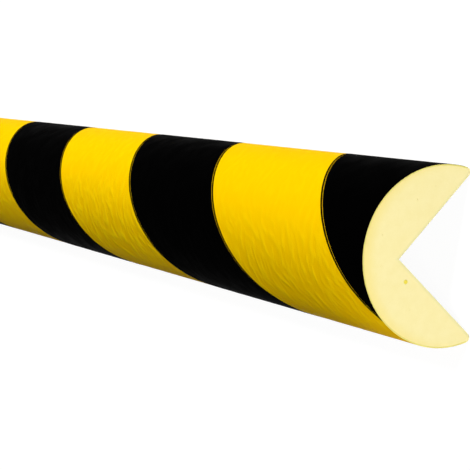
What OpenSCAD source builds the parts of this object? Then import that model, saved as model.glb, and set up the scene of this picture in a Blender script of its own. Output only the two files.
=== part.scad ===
// Round foam edge protector: a straight bar of soft foam with a round back and
// a right-angled notch along it. A thin yellow skin covers the back from arm tip
// to arm tip, and slanting black bands lie on the skin.
// X runs along the bar, Y across the notch, Z up through the round back. The bar
// rests on the tips of its two arms, with the notch facing down. The front end,
// where the first black band is cut, is at +X.

/* [Bar] */
// Length of the bar
bar_length = 1000; // [100:10:2000]
// Diameter of the round back, over the yellow skin
bar_d = 40; // [32:1:60]
// Thickness of the yellow skin
skin_t = 0.3; // [0.2:0.05:0.6]

/* [Notch] */
// Foam and skin left between the root of the notch and the crown of the back
back_wall = 8.8; // [5:0.1:11]
// Radius of the rounded tip of each arm
tip_r = 1.1; // [0.8:0.1:1.8]

/* [Black bands] */
// Width of a black band, measured along the bar
band_w = 60; // [20:1:120]
// Width of the yellow between two black bands, measured along the bar
yellow_w = 60; // [20:1:120]
// Lean of the bands away from square across the bar, in degrees
band_lean = 45; // [15:1:60]
// Distance from the front end to the far edge of the first band, at the crown
first_band = 14.3; // [5:0.1:60]
// Thickness of a black band
band_t = 0.12; // [0.1:0.01:0.3]
// Yellow left bare between the end of a band and the edge of the skin
band_margin = 0.5; // [0.2:0.1:2]

/* [Hidden] */
$fn = 128;

outer_r = bar_d / 2;
core_r = outer_r - skin_t;
// Height of the notch root over the axis of the round back
root_h = outer_r - back_wall;

// Centre of an arm's tip circle: it touches the round back from inside and the
// notch wall from above. wall_line is y + z of the centre, as the walls stand at 45 degrees.
wall_line = root_h + tip_r * sqrt(2);
tip_z = (wall_line - sqrt(2 * pow(outer_r - tip_r, 2) - wall_line * wall_line)) / 2;
tip_y = wall_line - tip_z;
// Angle from the crown, round the back, to where the skin ends and the tip begins
tip_angle = atan2(tip_y, tip_z);
// Height of the axis of the round back over the plane that the tips rest on
axis_h = tip_r - tip_z;

// Slope of a band's edges: mm along the bar for each degree round the skin
band_slope = outer_r * tan(band_lean) * PI / 180;
band_pitch = band_w + yellow_w;
// The bands stop at this angle from the crown on both sides
band_angle = tip_angle - band_margin / outer_r * 180 / PI;
// Least width of a band where an end of the bar cuts it to a point
point_w = 0.6;
// Most degrees between two rulings of a band's slanting edge
ruling_step = 12;
// Room that a band's cutting block has inside and outside the band
block_room = 0.5;

// A flat section in Y and Z, about the axis of the round back, becomes a bar along X
module along_bar() {
    translate([-bar_length / 2, 0, axis_h])
        rotate([90, 0, 90])
            linear_extrude(height = bar_length)
                children();
}

// What lies within an angle of the crown, as one flat shape that reaches past the bar
module crown_sector(angle) {
    far = 4 * outer_r;
    difference() {
        square(2 * outer_r + 2, center = true);
        polygon([
            [0, 0],
            [far * sin(angle), far * cos(angle)],
            [0, -far],
            [-far * sin(angle), far * cos(angle)]
        ]);
    }
}

// The layer of one thickness that wraps the round back up to an angle from the crown
module back_layer(inner_r, thickness, angle) {
    intersection() {
        difference() {
            circle(r = inner_r + thickness);
            circle(r = inner_r);
        }
        crown_sector(angle);
    }
}

// The sharp corner of the right arm that its tip circle rounds off. It lies between
// the angle where the skin ends and the angle at which the notch wall is touched.
module tip_corner() {
    wall_angle = 225;
    reach = 4 * tip_r;
    translate([tip_y, tip_z])
        difference() {
            polygon([
                [0, 0],
                for (a = [tip_angle, (tip_angle + wall_angle) / 2, wall_angle])
                    reach * [sin(a), cos(a)]
            ]);
            circle(r = tip_r);
        }
}

// The whole section of the bar, with skin and foam as one
module bar_section() {
    notch_reach = 2 * outer_r;
    difference() {
        circle(r = outer_r);
        polygon([
            [0, root_h],
            [notch_reach, root_h - notch_reach],
            [-notch_reach, root_h - notch_reach]
        ]);
        tip_corner();
        mirror([1, 0])
            tip_corner();
    }
}

// Angles at which a band's outline starts, turns and ends. near is the place of its
// front edge at the crown, measured from the front end of the bar.
function band_turns(near) =
    let (
        start = max(-band_angle, (point_w - near - band_w) / band_slope),
        end = min(band_angle, (bar_length - point_w - near) / band_slope),
        front_cut = -near / band_slope,
        back_cut = (bar_length - near - band_w) / band_slope,
        cuts = [min(front_cut, back_cut), max(front_cut, back_cut)]
    )
    [start, for (a = cuts) if (a > start + 0.5 && a < end - 0.5) a, end];

// The same angles with rulings in between
function band_rulings(turns) = [
    for (i = [0 : len(turns) - 2])
        let (n = ceil((turns[i + 1] - turns[i]) / ruling_step))
            for (j = [0 : n - 1])
                turns[i] + (turns[i + 1] - turns[i]) * j / n,
    turns[len(turns) - 1]
];

// A point at a radius and an angle from the crown, and a distance from the front end
function bar_point(r, angle, from_front) =
    [bar_length / 2 - from_front, r * sin(angle), axis_h + r * cos(angle)];

// A block with ruled, slanting sides that cuts one band out of a layer on the back
module band_block(near) {
    inner_r = outer_r - block_room;
    block_r = outer_r + band_t + block_room;
    angles = band_rulings(band_turns(near));
    last = 4 * (len(angles) - 1);
    points = [
        for (a = angles)
            let (
                lo = max(0, near + band_slope * a),
                hi = min(bar_length, near + band_w + band_slope * a)
            )
            each [
                bar_point(inner_r, a, lo), bar_point(block_r, a, lo),
                bar_point(block_r, a, hi), bar_point(inner_r, a, hi)
            ]
    ];
    sides = [
        for (s = [0 : 4 : last - 4], e = [0 : 3])
            let (f = (e + 1) % 4)
            each [
                [s + e, s + f, s + 4 + f],
                [s + e, s + 4 + f, s + 4 + e]
            ]
    ];
    polyhedron(
        points = points,
        faces = [[3, 2, 1, 0], each sides, [last, last + 1, last + 2, last + 3]]
    );
}

// Soft foam body of the bar
module foam_core() {
    color("moccasin")
        along_bar()
            difference() {
                bar_section();
                back_layer(core_r, skin_t, tip_angle);
            }
}

// Thin yellow skin over the round back
module yellow_skin() {
    color("gold")
        along_bar()
            back_layer(core_r, skin_t, tip_angle);
}

// Slanting black bands on the skin, cut square with the bar at both ends
module black_stripes() {
    first_near = first_band - band_w;
    reach = band_slope * band_angle;
    last_band = ceil((bar_length + reach - point_w - first_near) / band_pitch) - 1;
    color([0.05, 0.05, 0.05])
        for (i = [0 : last_band])
            intersection() {
                along_bar()
                    back_layer(outer_r, band_t, band_angle);
                band_block(first_near + i * band_pitch);
            }
}

foam_core();
yellow_skin();
black_stripes();
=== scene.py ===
import math
import random

import bmesh
import bpy
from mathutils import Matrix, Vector


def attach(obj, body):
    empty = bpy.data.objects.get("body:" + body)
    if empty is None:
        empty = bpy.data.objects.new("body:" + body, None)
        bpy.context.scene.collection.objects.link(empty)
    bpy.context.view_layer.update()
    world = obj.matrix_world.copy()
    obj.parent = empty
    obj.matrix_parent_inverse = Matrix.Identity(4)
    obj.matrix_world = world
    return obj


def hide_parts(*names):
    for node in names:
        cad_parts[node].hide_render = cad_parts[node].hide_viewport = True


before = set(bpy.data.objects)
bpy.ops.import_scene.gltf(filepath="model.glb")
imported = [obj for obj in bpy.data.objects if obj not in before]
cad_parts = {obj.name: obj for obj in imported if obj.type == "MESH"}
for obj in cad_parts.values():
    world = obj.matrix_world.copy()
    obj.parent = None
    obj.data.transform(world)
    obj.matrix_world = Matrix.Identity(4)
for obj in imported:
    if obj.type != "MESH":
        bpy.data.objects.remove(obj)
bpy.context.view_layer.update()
mm = 0.001
samePlace = 1e-6                    # m, points closer than this are one
white = (1, 1, 1, 1)
random.seed(692)

# The bar's section and length as in the CAD part, in mm and degrees
bar = {
    "length": 1000,
    "backRadius": 20,               # over the yellow skin
    "skin": 0.3,
    "axisHeight": 6.46648,          # axis of the round back over the floor
    "rootHeight": 11.2,             # root of the notch over that axis
    "tipRadius": 1.1,
    "tipCentre": (18.1221, -5.3665),
    "tipAngle": 106.4955,           # from the crown to where the skin ends
    "wallAngle": 225,               # from the crown to where a tip meets its notch wall
}
axisZ = bar["axisHeight"] * mm
backRadius = bar["backRadius"] * mm
halfLength = bar["length"] / 2 * mm


def toLinear(hexColour):
    parts = [int(hexColour[i:i + 2], 16) / 255 for i in (1, 3, 5)]
    linear = [c / 12.92 if c <= 0.04045 else ((c + 0.055) / 1.055) ** 2.4 for c in parts]
    return (*linear, 1)


def deselectAll():
    if bpy.context.mode != "OBJECT":
        bpy.ops.object.mode_set(mode="OBJECT")
    bpy.ops.object.select_all(action="DESELECT")


def activate(piece):
    deselectAll()
    piece.select_set(True)
    bpy.context.view_layer.objects.active = piece


def applyPlace(piece):
    activate(piece)
    bpy.ops.object.transform_apply(location=True, rotation=True, scale=True)


def applyModifiers(piece):
    activate(piece)
    for name in [m.name for m in piece.modifiers]:
        bpy.ops.object.modifier_apply(modifier=name)


def editSelect(piece, kind, test):
    # enters edit mode with only the edges or faces that pass the test selected
    activate(piece)
    bpy.ops.object.mode_set(mode="EDIT")
    bpy.ops.mesh.select_mode(type=kind)
    bpy.ops.mesh.select_all(action="DESELECT")
    mesh = bmesh.from_edit_mesh(piece.data)
    for part in mesh.edges if kind == "EDGE" else mesh.faces:
        if test(part):
            part.select = True
    mesh.select_flush_mode()
    bmesh.update_edit_mesh(piece.data)


def edgeMiddle(edge):
    return (edge.verts[0].co + edge.verts[1].co) / 2


def cutAll(piece, place, normal, clearOuter=False):
    # a straight cut through all of a piece, which may throw away what lies past it
    activate(piece)
    bpy.ops.object.mode_set(mode="EDIT")
    bpy.ops.mesh.select_all(action="SELECT")
    bpy.ops.mesh.bisect(
        plane_co=place, plane_no=normal, clear_outer=clearOuter, threshold=samePlace / 10
    )
    bpy.ops.object.mode_set(mode="OBJECT")


def addNode(tree, kind, settings=None, links=None):
    node = tree.nodes.new(kind)
    for key, value in (settings or {}).items():
        if isinstance(key, int) or key in node.inputs:
            node.inputs[key].default_value = value
        else:
            setattr(node, key, value)
    for key, source in (links or {}).items():
        tree.links.new(source, node.inputs[key])
    return node


def newMaterial(name, settings):
    material = bpy.data.materials.new(name)
    material.use_nodes = True
    tree = material.node_tree
    tree.nodes.clear()
    shader = addNode(tree, "ShaderNodeBsdfPrincipled", settings)
    addNode(tree, "ShaderNodeOutputMaterial", links={"Surface": shader.outputs[0]})
    return material, tree, shader


def radiusFromAxis(tree, lower=0):
    # how far a point lies from the axis of the round back, or from a line that much lower
    place = addNode(tree, "ShaderNodeTexCoord").outputs["Object"]
    centred = addNode(
        tree,
        "ShaderNodeMapping",
        {"Location": (0, 0, lower - axisZ), "Scale": (0, 1, 1)},
        {"Vector": place},
    )
    return addNode(
        tree, "ShaderNodeVectorMath", {"operation": "LENGTH"}, {0: centred.outputs[0]}
    ).outputs["Value"]


# Camera: long lens from the side of the crown, near the cut end, with its top edge turned to +Y
camera = {
    "place": (0.82484, 0.04366, 0.20253),
    "turn": (-6.6836, 65.6816, -0.9013),    # degrees
    "lens": 134.41,             # mm, for the sensor width below
    "sensor": 36,
    "clip": (0.01, 60),
}
cameraData = bpy.data.cameras.new("productCamera")
cameraData.lens = camera["lens"]
cameraData.sensor_width = camera["sensor"]
cameraData.clip_start, cameraData.clip_end = camera["clip"]
cameraObject = bpy.data.objects.new("productCamera", cameraData)
bpy.context.scene.collection.objects.link(cameraObject)
cameraObject.location = camera["place"]
cameraObject.rotation_euler = [math.radians(a) for a in camera["turn"]]
bpy.context.scene.camera = cameraObject
print("camera placed")


# Light: a low softbox beside the +Y side, a small one high above, one towards each cut end, a
# small fill from beside the camera, a warm spot that grazes the cut end from -Y, and an even room
lights = {
    "side": {"place": (0.18, 1.2, 0.23), "size": 1.15, "power": 16.6},
    "high": {"place": (1.4, 1.28, 2.1), "size": 0.4, "power": 34.4},
    "end": {"place": (2.6, 0.2, 0.9), "size": 1.6, "power": 7},
    "fill": {"place": (1.1, -0.15, 0.16), "size": 0.25, "power": 2.87},
    "rear": {"place": (-2.4, 0.25, 0.34), "size": 0.6, "power": 26},
    "aim": (0.3, 0, 0.02),
    "room": 0.05,               # strength of the even light on the bar
    "backdrop": 1,              # strength of the white that the camera and gloss see
}
graze = {
    "place": (0.4, -0.6, 0.05),
    "aim": (0.52, -0.018, 0.028),
    "cone": 8.6,                # degrees across
    "blend": 1,                 # soft all the way in from its rim
    "radius": 0.02,
    "power": 6.7,
    "colour": (1, 0.86, 0.7),
}


def addLamp(name, kind, place, aim, power):
    lampData = bpy.data.lights.new(name, kind)
    lampData.energy = power
    lamp = bpy.data.objects.new(name, lampData)
    bpy.context.scene.collection.objects.link(lamp)
    lamp.location = place
    lamp.rotation_euler = (Vector(aim) - Vector(place)).to_track_quat("-Z", "Y").to_euler()
    return lamp


for name in ("side", "high", "end", "fill", "rear"):
    softbox = lights[name]
    lamp = addLamp(name + "Softbox", "AREA", softbox["place"], lights["aim"], softbox["power"])
    lamp.data.shape = "DISK"
    lamp.data.size = softbox["size"]
    lamp.visible_glossy = name != "rear"    # else it glares along the skin towards the camera
grazeLamp = addLamp("grazingSpot", "SPOT", graze["place"], graze["aim"], graze["power"])
grazeLamp.data.spot_size = math.radians(graze["cone"])
grazeLamp.data.spot_blend = graze["blend"]
grazeLamp.data.shadow_soft_size = graze["radius"]
grazeLamp.data.color = graze["colour"]

world = bpy.data.worlds.new("whiteRoom")
bpy.context.scene.world = world
world.use_nodes = True
tree = world.node_tree
tree.nodes.clear()


def seenDirectly(tree):
    # 1 for rays from the camera and for what gloss or glass shows of the room
    path = addNode(tree, "ShaderNodeLightPath")
    seen = path.outputs["Is Camera Ray"]
    for ray in ("Is Glossy Ray", "Is Transmission Ray"):
        seen = addNode(
            tree, "ShaderNodeMath", {"operation": "MAXIMUM"}, {0: seen, 1: path.outputs[ray]}
        ).outputs[0]
    return seen


roomLight = addNode(
    tree, "ShaderNodeBackground", {"Color": white, "Strength": lights["room"]}
)
roomWhite = addNode(
    tree, "ShaderNodeBackground", {"Color": white, "Strength": lights["backdrop"]}
)
mixed = addNode(
    tree,
    "ShaderNodeMixShader",
    links={0: seenDirectly(tree), 1: roomLight.outputs[0], 2: roomWhite.outputs[0]},
)
addNode(tree, "ShaderNodeOutputWorld", links={"Surface": mixed.outputs[0]})

# Matt studio paper: near white, with a faint shadow. It throws back little light, so that the
# bar darkens towards the floor.
floor = {
    "size": 30,
    "glow": 0.95,               # its own white, which only the camera and gloss see
    "pale": 0.13,               # how far the lamps, and with them the shadow, show on it
    "bounce": 0.08,             # how much light it throws back on the bar
}
deselectAll()
bpy.ops.mesh.primitive_plane_add(size=floor["size"], location=(0, 0, 0))
floorPiece = bpy.context.object
floorPiece.name = "studioFloor"
floorMaterial = bpy.data.materials.new("mattStudioPaper")
floorMaterial.use_nodes = True
tree = floorMaterial.node_tree
tree.nodes.clear()
glow = addNode(tree, "ShaderNodeEmission", {"Color": white, "Strength": floor["glow"]})
paper = addNode(tree, "ShaderNodeBsdfDiffuse", {"Color": (floor["pale"],) * 3 + (1,)})
bounce = addNode(tree, "ShaderNodeBsdfDiffuse", {"Color": (floor["bounce"],) * 3 + (1,)})
shown = addNode(tree, "ShaderNodeAddShader", links={0: glow.outputs[0], 1: paper.outputs[0]})
mixed = addNode(
    tree,
    "ShaderNodeMixShader",
    links={0: seenDirectly(tree), 1: bounce.outputs[0], 2: shown.outputs[0]},
)
addNode(tree, "ShaderNodeOutputMaterial", links={"Surface": mixed.outputs[0]})
floorPiece.data.materials.append(floorMaterial)
bpy.context.scene.view_settings.view_transform = "Standard"
print("studio ready")


# Cut polyurethane foam: matt, pale cream with tiny closed cells, deeper yellow near the skin, and
# painted shade in its one deep open cell
foamLook = {
    "colour": "#FCEFB0",
    "shadeColour": "#F9EBA6",
    "mottle": 2.2,              # mm across
    "mottleSpan": (0.35, 0.75),     # noise values at the two colours
    "cell": 0.45,               # mm across; real cells are 0.2, drawn coarser so that they show
    "cellDepth": 0.05,          # mm
    "cellStrength": 0.25,
    "rim": "#F8E691",           # under the skin, widest at the crown
    "rimFrom": 18.2,            # mm from a line under the axis of the back
    "rimTo": 21.8,
    "rimLower": 2,
    "wall": "#F1E6A6",          # denser foam along the notch walls
    "wallDepth": (0.127, 0.9),  # mm from a wall where it is full, and where it ends
    "pit": "#E2D440",           # painted shade inside the one deep open cell
    "pitPlace": (9.52, -4.97),  # mm up from the axis of the back, and across
    "pitReach": (0.34, 0.6),    # mm from its middle where it is full, and where it ends
}
foamMaterial, tree, shader = newMaterial(
    "cutPolyurethaneFoam", {"Roughness": 0.95, "Specular IOR Level": 0.1, "IOR": 1.45}
)
place = addNode(tree, "ShaderNodeTexCoord").outputs["Object"]
mottle = addNode(
    tree,
    "ShaderNodeTexNoise",
    {"Scale": 1 / (foamLook["mottle"] * mm), "Detail": 4.0, "Roughness": 0.65},
    {"Vector": place},
)
mottleShare = addNode(
    tree,
    "ShaderNodeMapRange",
    {"From Min": foamLook["mottleSpan"][0], "From Max": foamLook["mottleSpan"][1]},
    {"Value": mottle.outputs[0]},
)
body = addNode(
    tree,
    "ShaderNodeMix",
    {"data_type": "RGBA", 6: toLinear(foamLook["colour"]), 7: toLinear(foamLook["shadeColour"])},
    {0: mottleShare.outputs[0]},
)
rimShare = addNode(
    tree,
    "ShaderNodeMapRange",
    {
        "interpolation_type": "SMOOTHSTEP",
        "From Min": foamLook["rimFrom"] * mm,
        "From Max": foamLook["rimTo"] * mm,
    },
    {"Value": radiusFromAxis(tree, foamLook["rimLower"] * mm)},
)
rimmed = addNode(
    tree,
    "ShaderNodeMix",
    {"data_type": "RGBA", 7: toLinear(foamLook["rim"])},
    {0: rimShare.outputs[0], 6: body.outputs[2]},
)
# the notch walls are where z plus the distance from the middle plane is that of the root
split = addNode(tree, "ShaderNodeSeparateXYZ", links={0: place})
aside = addNode(tree, "ShaderNodeMath", {"operation": "ABSOLUTE"}, {0: split.outputs["Y"]})
reach = addNode(
    tree, "ShaderNodeMath", {"operation": "ADD"}, {0: aside.outputs[0], 1: split.outputs["Z"]}
)
rootZ = axisZ + bar["rootHeight"] * mm
wallShare = addNode(
    tree,
    "ShaderNodeMapRange",
    {
        "interpolation_type": "SMOOTHSTEP",
        "From Min": rootZ + foamLook["wallDepth"][1] * math.sqrt(2) * mm,
        "From Max": rootZ + foamLook["wallDepth"][0] * math.sqrt(2) * mm,
    },
    {"Value": reach.outputs[0]},
)
walled = addNode(
    tree,
    "ShaderNodeMix",
    {"data_type": "RGBA", 7: toLinear(foamLook["wall"])},
    {0: wallShare.outputs[0], 6: rimmed.outputs[2]},
)
# painted shade: the foam turns a deeper, darker yellow inside the one deep open cell that the balls
# scoop out
pitUp, pitAcross = foamLook["pitPlace"]
fromPit = addNode(
    tree,
    "ShaderNodeVectorMath",
    {"operation": "DISTANCE", 1: (halfLength, pitAcross * mm, axisZ + pitUp * mm)},
    {0: place},
)
pitShadeShare = addNode(
    tree,
    "ShaderNodeMapRange",
    {
        "interpolation_type": "SMOOTHSTEP",
        "From Min": foamLook["pitReach"][1] * mm,
        "From Max": foamLook["pitReach"][0] * mm,
    },
    {"Value": fromPit.outputs["Value"]},
)
pitShaded = addNode(
    tree,
    "ShaderNodeMix",
    {"data_type": "RGBA", 7: toLinear(foamLook["pit"])},
    {0: pitShadeShare.outputs[0], 6: walled.outputs[2]},
)
tree.links.new(pitShaded.outputs[2], shader.inputs["Base Color"])
cells = addNode(
    tree, "ShaderNodeTexVoronoi", {"Scale": 1 / (foamLook["cell"] * mm)}, {"Vector": place}
)
foamBump = addNode(
    tree,
    "ShaderNodeBump",
    {"Strength": foamLook["cellStrength"], "Distance": foamLook["cellDepth"] * mm},
    {"Height": cells.outputs["Distance"]},
)
tree.links.new(foamBump.outputs[0], shader.inputs["Normal"])


# Wrinkles of the skin: the broad ones are in the mesh and the fine ones are bump. Both are drawn
# on the flat sheet, in mm, before it is wrapped round the back.
wrinkles = {
    "leans": (12, 52),          # two crossing families, degrees from square across the bar
    "height": 0.21,             # mm
    "size": 2.5,                # mm across
    "longer": 4,                # length over width
    "apart": 10,                # mm along the bar between the two patterns, for each degree
    "fade": 2.5,                # mm from the sheet's edges over which they die out
    "fineLeans": (6, 46),
    "fineSize": 1.8,            # mm across
    "fineLonger": 2.8,
    "fineHeight": 0.28,         # mm
    "fineDetail": 1.5,
    "fineRoughness": 0.45,
    "ridgeSpan": (0.38, 0.72),  # noise values between flat ground and the top of a ridge
    "patch": 12,                # mm over which one family gives way to the other
    "patchSpan": (0.4, 0.6),    # noise values between one family and the other
    "drift": (12, 4),           # mm over which they bend, and how far
    "calmer": (                 # way on the sheet, mm where weakest, mm where full, least share
        ("Y", 12, -12, 0.32),   # smoother on the +Y side of the crown
        ("Y", -24, -14, 0.3),   # and again low on the other side
        ("X", 430, 350, 0.56),  # and towards the front end, which is at 500
        ("X", 110, 230, 0.6),   # and along the rest of the bar
    ),
}


def addFineWrinkles(tree, shader, strength):
    # gives the shader its bump, and returns how high each spot stands
    flat = addNode(tree, "ShaderNodeUVMap", {"uv_map": "layout"}).outputs[0]
    overLength, byLength = wrinkles["drift"]
    drift = addNode(
        tree, "ShaderNodeTexNoise", {"Scale": 1 / overLength, "Detail": 1.0}, {"Vector": flat}
    )
    bent = addNode(
        tree,
        "ShaderNodeVectorMath",
        {"operation": "MULTIPLY_ADD", 1: (byLength, byLength, 0)},
        {0: drift.outputs["Color"], 2: flat},
    )
    streaks = []
    for lean in wrinkles["fineLeans"]:
        turned = addNode(
            tree,
            "ShaderNodeMapping",
            {
                "vector_type": "TEXTURE",
                "Location": (lean, 0, 0),   # so that the two families differ
                "Rotation": (0, 0, math.radians(90 + lean)),
                "Scale": (wrinkles["fineLonger"], 1, 1),
            },
            {"Vector": bent.outputs[0]},
        )
        streak = addNode(
            tree,
            "ShaderNodeTexNoise",
            {
                "Scale": 1 / wrinkles["fineSize"],
                "Detail": wrinkles["fineDetail"],
                "Roughness": wrinkles["fineRoughness"],
            },
            {"Vector": turned.outputs[0]},
        )
        streaks.append(streak.outputs[0])
    patch = addNode(
        tree, "ShaderNodeTexNoise", {"Scale": 1 / wrinkles["patch"], "Detail": 0.0}, {"Vector": flat}
    )
    chosen = addNode(
        tree,
        "ShaderNodeMapRange",
        {
            "interpolation_type": "SMOOTHSTEP",
            "From Min": wrinkles["patchSpan"][0],
            "From Max": wrinkles["patchSpan"][1],
        },
        {"Value": patch.outputs[0]},
    )
    woven = addNode(
        tree, "ShaderNodeMix", links={0: chosen.outputs[0], 2: streaks[0], 3: streaks[1]}
    )
    # soft ridges on a flatter ground
    ridges = addNode(
        tree,
        "ShaderNodeMapRange",
        {
            "interpolation_type": "SMOOTHSTEP",
            "From Min": wrinkles["ridgeSpan"][0],
            "From Max": wrinkles["ridgeSpan"][1],
        },
        {"Value": woven.outputs[0]},
    )
    spot = addNode(tree, "ShaderNodeSeparateXYZ", links={0: flat})
    share = addNode(tree, "ShaderNodeValue")
    share.outputs[0].default_value = strength
    for way, weakest, full, least in wrinkles["calmer"]:
        calm = addNode(
            tree,
            "ShaderNodeMapRange",
            {
                "interpolation_type": "SMOOTHSTEP",
                "From Min": weakest,
                "From Max": full,
                "To Min": least,
            },
            {"Value": spot.outputs[way]},
        )
        share = addNode(
            tree,
            "ShaderNodeMath",
            {"operation": "MULTIPLY"},
            {0: share.outputs[0], 1: calm.outputs[0]},
        )
    bump = addNode(
        tree,
        "ShaderNodeBump",
        {"Distance": wrinkles["fineHeight"] * mm},
        {"Height": ridges.outputs[0], "Strength": share.outputs[0]},
    )
    tree.links.new(bump.outputs[0], shader.inputs["Normal"])
    return addNode(
        tree,
        "ShaderNodeMath",
        {"operation": "MULTIPLY"},
        {0: ridges.outputs[0], 1: share.outputs[0]},
    ).outputs[0]


# Integral skin of polyurethane, pigmented yellow: thin, satin, with soft slanting wrinkles whose
# ridges carry a painted highlight and whose creases a painted shade
yellowLook = {
    "colour": "#F8C600",
    "ridge": "#FFDA06",         # painted highlight where the fine wrinkles stand highest
    "cutEdge": "#E9DE7C",       # the skin's thickness, bare at both cut ends
    "edgeSpan": (19.94, 20.02),     # mm from the axis of the back where it turns yellow
    "endDepth": 0.01,           # mm from an end that count as its cut face
    "roughness": 0.42,
    "gloss": 0.0005,            # next to none: no lamp shows in it in the photo
}
yellowMaterial, tree, shader = newMaterial(
    "pigmentedFoamSkin",
    {
        "Roughness": yellowLook["roughness"],
        "Specular IOR Level": yellowLook["gloss"],
        "IOR": 1.45,
    },
)
ridges = addFineWrinkles(tree, shader, 1.0)
# painted light: the yellow is mixed towards its ridge colour as a painted highlight where the fine
# wrinkles stand highest, and stays darker in the creases as painted shade
wrinkleShading = addNode(
    tree,
    "ShaderNodeMix",
    {"data_type": "RGBA", 6: toLinear(yellowLook["colour"]), 7: toLinear(yellowLook["ridge"])},
    {0: ridges},
)
along = addNode(
    tree,
    "ShaderNodeSeparateXYZ",
    links={0: addNode(tree, "ShaderNodeTexCoord").outputs["Object"]},
)
atEnd = addNode(tree, "ShaderNodeMath", {"operation": "ABSOLUTE"}, {0: along.outputs["X"]})
notEnd = addNode(
    tree,
    "ShaderNodeMath",
    {"operation": "LESS_THAN", 1: halfLength - yellowLook["endDepth"] * mm},
    {0: atEnd.outputs[0]},
)
outerShare = addNode(
    tree,
    "ShaderNodeMapRange",
    {
        "From Min": yellowLook["edgeSpan"][0] * mm,
        "From Max": yellowLook["edgeSpan"][1] * mm,
    },
    {"Value": radiusFromAxis(tree)},
)
yellowShare = addNode(
    tree,
    "ShaderNodeMath",
    {"operation": "MAXIMUM"},
    {0: outerShare.outputs[0], 1: notEnd.outputs[0]},
)
toned = addNode(
    tree,
    "ShaderNodeMix",
    {"data_type": "RGBA", 6: toLinear(yellowLook["cutEdge"])},
    {0: yellowShare.outputs[0], 7: wrinkleShading.outputs[2]},
)
tree.links.new(toned.outputs[2], shader.inputs["Base Color"])

# Printed black film on the skin: near black and smooth, with the skin's wrinkles showing
# through and slightly duller where it was handled
filmLook = {
    "colour": "#010101",
    "handled": 6,               # mm across a duller patch
    "handledSpan": (0.35, 0.65),    # noise values at the two roughnesses
    "roughness": (0.36, 0.5),
    "gloss": 0.0002,            # as on the yellow, or the black turns grey
    "wrinkles": 0.3,            # share of the yellow skin's fine wrinkles
}
blackMaterial, tree, shader = newMaterial(
    "printedBlackFilm",
    {
        "Base Color": toLinear(filmLook["colour"]),
        "Specular IOR Level": filmLook["gloss"],
        "IOR": 1.45,
    },
)
handled = addNode(
    tree,
    "ShaderNodeTexNoise",
    {"Scale": 1 / (filmLook["handled"] * mm), "Detail": 3.0},
    {"Vector": addNode(tree, "ShaderNodeTexCoord").outputs["Object"]},
)
dulled = addNode(
    tree,
    "ShaderNodeMapRange",
    {
        "From Min": filmLook["handledSpan"][0],
        "From Max": filmLook["handledSpan"][1],
        "To Min": filmLook["roughness"][0],
        "To Max": filmLook["roughness"][1],
    },
    {"Value": handled.outputs[0]},
)
tree.links.new(dulled.outputs[0], shader.inputs["Roughness"])
addFineWrinkles(tree, shader, filmLook["wrinkles"])
print("materials ready")


# Foam body: half a section is drawn with two arcs and two straight lines, mirrored, filled
# and drawn out along the bar
foamBody = {
    "arcSteps": 96,
    "tipSteps": 14,
    "pits": (                   # open cells on the front cut: up from the axis, across, radius
        (9.52, -4.97, 0.42),
        (6.74, 12.64, 0.2),
        (15.27, 5.48, 0.18),
    ),
    "morePits": 4,              # on each end
    "pitRadius": (0.1, 0.15),
    "pitAngle": 95,             # degrees, at most, from the crown
    "pitOut": (12.5, 18.0),     # from the axis
    "pitClear": 1.5,            # from the notch, measured up and across together
    "pitApart": 3,
    "smoothAngle": 25,
}


def buildFoamBody(size):
    coreRadius = backRadius - bar["skin"] * mm
    tipAngle = math.radians(bar["tipAngle"])
    across, up = bar["tipCentre"]
    deselectAll()
    bpy.ops.mesh.primitive_circle_add(
        vertices=3,
        radius=coreRadius,
        location=(halfLength, 0, axisZ),
        rotation=(0, math.radians(90), 0),
    )
    piece = bpy.context.object
    piece.name = "foamBody"
    applyPlace(piece)
    # one point of the circle is kept and goes to the crown, where the drawing starts
    bpy.ops.object.mode_set(mode="EDIT")
    mesh = bmesh.from_edit_mesh(piece.data)
    mesh.verts.ensure_lookup_table()
    bmesh.ops.delete(mesh, geom=mesh.verts[1:], context="VERTS")
    mesh.verts.ensure_lookup_table()
    mesh.verts[0].co = (halfLength, 0, axisZ + coreRadius)
    mesh.verts[0].select = True
    bmesh.update_edit_mesh(piece.data)
    bpy.ops.mesh.select_mode(type="VERT")
    bpy.ops.mesh.select_all(action="SELECT")
    bpy.ops.mesh.spin(
        steps=size["arcSteps"], angle=tipAngle, center=(halfLength, 0, axisZ), axis=(1, 0, 0)
    )
    stepOut = bar["skin"] * mm
    bpy.ops.mesh.extrude_region_move(
        TRANSFORM_OT_translate={
            "value": (0, stepOut * math.sin(tipAngle), stepOut * math.cos(tipAngle))
        }
    )
    bpy.ops.mesh.spin(
        steps=size["tipSteps"],
        angle=math.radians(bar["wallAngle"] - bar["tipAngle"]),
        center=(halfLength, across * mm, axisZ + up * mm),
        axis=(1, 0, 0),
    )
    wallAngle = math.radians(bar["wallAngle"])
    wallEnd = (
        (across + bar["tipRadius"] * math.sin(wallAngle)) * mm,
        axisZ + (up + bar["tipRadius"] * math.cos(wallAngle)) * mm,
    )
    bpy.ops.mesh.extrude_region_move(
        TRANSFORM_OT_translate={
            "value": (0, -wallEnd[0], axisZ + bar["rootHeight"] * mm - wallEnd[1])
        }
    )
    bpy.ops.object.mode_set(mode="OBJECT")
    mirror = piece.modifiers.new("otherArm", "MIRROR")
    mirror.use_axis = (False, True, False)
    mirror.merge_threshold = samePlace
    applyModifiers(piece)
    bpy.ops.object.mode_set(mode="EDIT")
    bpy.ops.mesh.select_all(action="SELECT")
    bpy.ops.mesh.remove_doubles(threshold=samePlace)
    bpy.ops.mesh.edge_face_add()
    bpy.ops.mesh.select_all(action="SELECT")
    bpy.ops.mesh.extrude_region_move(
        TRANSFORM_OT_translate={"value": (-2 * halfLength, 0, 0)}
    )
    bpy.ops.mesh.select_all(action="SELECT")
    bpy.ops.mesh.normals_make_consistent(inside=False)
    bpy.ops.object.mode_set(mode="OBJECT")
    return piece


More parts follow.
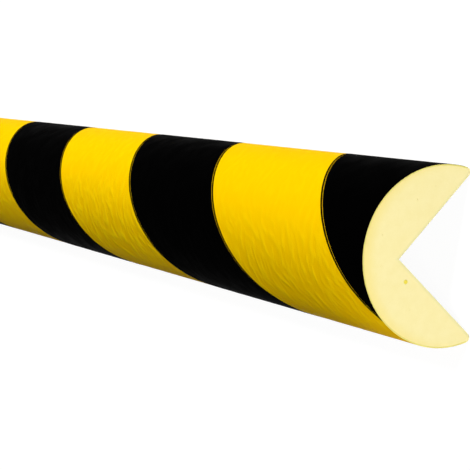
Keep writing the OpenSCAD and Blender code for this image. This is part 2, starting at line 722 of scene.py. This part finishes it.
def addPits(piece, size):
    # small open cells are scooped out of both cut ends with balls
    cutters = []
    spots = [(halfLength, *pit) for pit in size["pits"]]
    for end in (halfLength, -halfLength):
        wanted = len(spots) + size["morePits"]
        while len(spots) < wanted:
            angle = math.radians(random.uniform(-size["pitAngle"], size["pitAngle"]))
            out = random.uniform(*size["pitOut"])
            up, across = out * math.cos(angle), out * math.sin(angle)
            clearOfNotch = up + abs(across) - bar["rootHeight"] > size["pitClear"]
            apart = all(
                math.hypot(up - s[1], across - s[2]) > size["pitApart"]
                for s in spots
                if s[0] == end
            )
            if clearOfNotch and apart:
                spots.append((end, up, across, random.uniform(*size["pitRadius"])))
    for end, up, across, radius in spots:
        deselectAll()
        bpy.ops.mesh.primitive_ico_sphere_add(
            subdivisions=2,
            radius=radius * mm,
            location=(end, across * mm, axisZ + up * mm),
            rotation=(up, across, radius),  # each ball is turned its own way
        )
        cutters.append(bpy.context.object)
    deselectAll()
    for cutter in cutters:
        cutter.select_set(True)
    bpy.context.view_layer.objects.active = cutters[0]
    bpy.ops.object.join()
    balls = bpy.context.object
    scoop = piece.modifiers.new("openCells", "BOOLEAN")
    scoop.operation = "DIFFERENCE"
    scoop.solver = "EXACT"
    scoop.object = balls
    applyModifiers(piece)
    bpy.data.objects.remove(balls)


def finishPiece(piece, material, node, smoothAngle):
    # gives a piece its material and puts it in the place of its CAD node
    piece.data.materials.clear()
    piece.data.materials.append(material)
    activate(piece)
    bpy.ops.object.shade_smooth_by_angle(angle=math.radians(smoothAngle))
    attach(piece, "root")
    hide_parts(node)
    print(piece.name, len(piece.data.polygons), "faces")


foamPiece = buildFoamBody(foamBody)
addPits(foamPiece, foamBody)
finishPiece(foamPiece, foamMaterial, "foam_core", foamBody["smoothAngle"])


# A flat sheet stands in the XZ plane, with X along the bar, Z round the back and its outer
# side towards -Y. Its rows lean as the bands do. It is wrinkled and cut flat, then bent.
sheetMesh = {
    "along": 1.1,               # mm between columns
    "round": 1.6,               # mm between rows
    "spare": 4,                 # mm that are cut off at the ends
    "smoothAngle": 30,
}
bandLean = math.radians(45)
skinArc = backRadius * math.radians(bar["tipAngle"])


def leaningSheet(name, halfArc, out):
    # both sheets have the same rows and columns, so that one lies on the other all over
    rowCount = math.ceil(2 * skinArc / (sheetMesh["round"] * mm))
    rise = 2 * skinArc / rowCount
    shift = rise * math.tan(bandLean)
    spread = skinArc * math.tan(bandLean)
    width = 2 * (halfLength + spread) + sheetMesh["spare"] * mm
    deselectAll()
    bpy.ops.mesh.primitive_grid_add(
        x_subdivisions=round(width / (sheetMesh["along"] * mm)),
        y_subdivisions=1,
        size=1,
        location=(0, 0, 0),
        rotation=(math.radians(90), 0, 0),
    )
    piece = bpy.context.object
    piece.name = name
    piece.scale = (width, rise, 1)
    piece.location = (spread, -out, -skinArc - rise / 2)
    applyPlace(piece)
    editSelect(piece, "EDGE", lambda e: edgeMiddle(e).z > -skinArc - samePlace)
    for row in range(rowCount):
        bpy.ops.mesh.extrude_edges_move(
            TRANSFORM_OT_translate={"value": (-shift, 0, rise)}
        )
    bpy.ops.object.mode_set(mode="OBJECT")
    for place, normal in (
        ((halfLength, 0, 0), (1, 0, 0)),
        ((-halfLength, 0, 0), (-1, 0, 0)),
        ((0, 0, -halfArc), (0, 0, -1)),
        ((0, 0, halfArc), (0, 0, 1)),
    ):
        cutAll(piece, place, normal, clearOuter=True)
    return piece


def drawLayout(piece):
    # keeps each point's place on the flat sheet, in mm, for the patterns
    layer = piece.data.uv_layers.new(name="layout")
    for loop in piece.data.loops:
        spot = piece.data.vertices[loop.vertex_index].co
        layer.data[loop.index].uv = (spot.x / mm, spot.z / mm)


def smoothStep(share):
    share = max(0, min(1, share))
    return share * share * (3 - 2 * share)


def wrinkle(piece):
    # the broad wrinkles, weaker towards the sheet's edges and where the sheet is calmer
    weights = piece.vertex_groups.new(name="awayFromEdges")
    for vertex in piece.data.vertices:
        room = min(halfLength - abs(vertex.co.x), skinArc - abs(vertex.co.z))
        weight = smoothStep(room / (wrinkles["fade"] * mm))
        spot = {"X": vertex.co.x / mm, "Y": vertex.co.z / mm}
        for way, weakest, full, least in wrinkles["calmer"]:
            reach = (spot[way] - weakest) / (full - weakest)
            weight *= least + (1 - least) * smoothStep(reach)
        weights.add([vertex.index], weight, "REPLACE")
    cloud = bpy.data.textures.new("wrinkleCloud", "CLOUDS")
    cloud.noise_scale = wrinkles["size"] * mm
    cloud.noise_depth = 1
    guides = []
    for lean in wrinkles["leans"]:
        guide = bpy.data.objects.new("wrinkleGuide", None)
        bpy.context.scene.collection.objects.link(guide)
        guide.location = (wrinkles["apart"] * lean * mm, 0, 0)
        guide.rotation_euler = (0, math.radians(90 - lean), 0)
        guide.scale = (wrinkles["longer"], 1, 1)
        guides.append(guide)
        push = piece.modifiers.new("wrinkles", "DISPLACE")
        push.texture = cloud
        push.texture_coords = "OBJECT"
        push.texture_coords_object = guide
        push.direction = "Y"
        push.strength = -wrinkles["height"] * mm
        push.mid_level = 0.5
        push.vertex_group = "awayFromEdges"
    applyModifiers(piece)
    for guide in guides:
        bpy.data.objects.remove(guide)
    piece.vertex_groups.clear()


def wrapRound(piece, halfArc, thickness):
    # bends the sheet to the round back, gives it its thickness and lays it on the bar
    bend = piece.modifiers.new("wrap", "SIMPLE_DEFORM")
    bend.deform_method = "BEND"
    bend.deform_axis = "X"
    bend.angle = 2 * halfArc / backRadius
    applyModifiers(piece)
    outer = piece.data.polygons[0]
    middle = Vector((outer.center.x, backRadius, 0))
    if outer.normal.dot(outer.center - middle) < 0:
        editSelect(piece, "FACE", lambda f: True)
        bpy.ops.mesh.flip_normals()
        bpy.ops.object.mode_set(mode="OBJECT")
    wall = piece.modifiers.new("thickness", "SOLIDIFY")
    wall.thickness = thickness
    wall.offset = -1
    applyModifiers(piece)
    piece.rotation_euler = (math.radians(-90), 0, 0)
    piece.location = (0, 0, axisZ + backRadius)
    applyPlace(piece)


# Black bands: cut from a second sheet of film. Each has a narrow line along both edges,
# with a thin slit of yellow between the line and the broad field. All in mm and degrees.
blackBands = {
    "width": 60,                # along the bar
    "pitch": 120,
    "firstEdge": 14.3,          # far edge of the first band at the crown, from the cut end
    "angle": 105.063,           # the film stops short of the skin's end
    "film": 0.04,
    "sunk": 0.02,               # the film's underside lies in the skin
    "line": 0.62,               # across the line
    "slit": 0.17,
    "rough": 0.07,              # unevenness of the printed edges
    "roughSize": 0.9,
    "endRoom": 0.1,             # the film stays straight this near to a cut end
}


def fromFront(place):
    # distance from the cut end, measured along the bands to the crown
    return (halfLength - place.x - place.z * math.tan(bandLean)) / mm


def bandPart(place, size):
    # the part of the print that a place on the sheet lies in
    slant = math.sin(bandLean)
    spot = fromFront(place) - size["firstEdge"] + size["width"]
    spot = spot % size["pitch"]
    if spot > size["width"]:
        return "bare"
    inside = min(spot, size["width"] - spot) * slant
    if inside < size["line"]:
        return "line"
    return "slit" if inside < size["line"] + size["slit"] else "field"


def cutAlongBands(piece, size):
    # cuts at the edges of every field and line; the skin gets them too, so that film and
    # skin follow the same wrinkles to the point
    slant = math.sin(bandLean)
    normal = (math.cos(bandLean), 0, math.sin(bandLean))
    insets = (0, size["line"] / slant, (size["line"] + size["slit"]) / slant)
    for band in range(-1, math.ceil((bar["length"] + 2 * skinArc / mm) / size["pitch"]) + 1):
        near = size["firstEdge"] - size["width"] + band * size["pitch"]
        for inset in insets:
            for edge in (near + inset, near + size["width"] - inset):
                cutAll(piece, (halfLength - edge * mm, 0, 0), normal)


def buildBlackBands(size):
    halfArc = backRadius * math.radians(size["angle"])
    piece = leaningSheet("blackBands", halfArc, size["film"] * mm)
    cutAlongBands(piece, size)
    editSelect(
        piece,
        "FACE",
        lambda f: bandPart(f.calc_center_median(), size) in ("bare", "slit"),
    )
    bpy.ops.mesh.delete(type="FACE")
    bpy.ops.object.mode_set(mode="OBJECT")
    drawLayout(piece)
    wrinkle(piece)
    roughenEdges(piece, size)
    wrapRound(piece, halfArc, (size["film"] + size["sunk"]) * mm)
    return piece


def roughenEdges(piece, size):
    # the print's edges waver a little along the bar
    cloud = bpy.data.textures.new("printWaver", "CLOUDS")
    cloud.noise_scale = size["roughSize"] * mm
    cloud.noise_depth = 1
    edges = piece.vertex_groups.new(name="printEdges")
    mesh = bmesh.new()
    mesh.from_mesh(piece.data)
    rim = [v.index for v in mesh.verts if v.is_boundary]
    mesh.free()
    for index in rim:
        spot = piece.data.vertices[index].co
        if halfLength - abs(spot.x) > size["endRoom"] * mm:
            edges.add([index], 1, "REPLACE")
    waver = piece.modifiers.new("waver", "DISPLACE")
    waver.texture = cloud
    waver.texture_coords = "LOCAL"
    waver.direction = "X"
    waver.strength = size["rough"] * mm
    waver.mid_level = 0.5
    waver.vertex_group = "printEdges"
    applyModifiers(piece)
    piece.vertex_groups.clear()


skinPiece = leaningSheet("yellowSkin", skinArc, 0)
cutAlongBands(skinPiece, blackBands)
drawLayout(skinPiece)
wrinkle(skinPiece)
wrapRound(skinPiece, skinArc, bar["skin"] * mm)
finishPiece(
    skinPiece, yellowMaterial, "yellow_skin", sheetMesh["smoothAngle"]
)

bandPiece = buildBlackBands(blackBands)
finishPiece(
    bandPiece, blackMaterial, "black_stripes", sheetMesh["smoothAngle"]
)
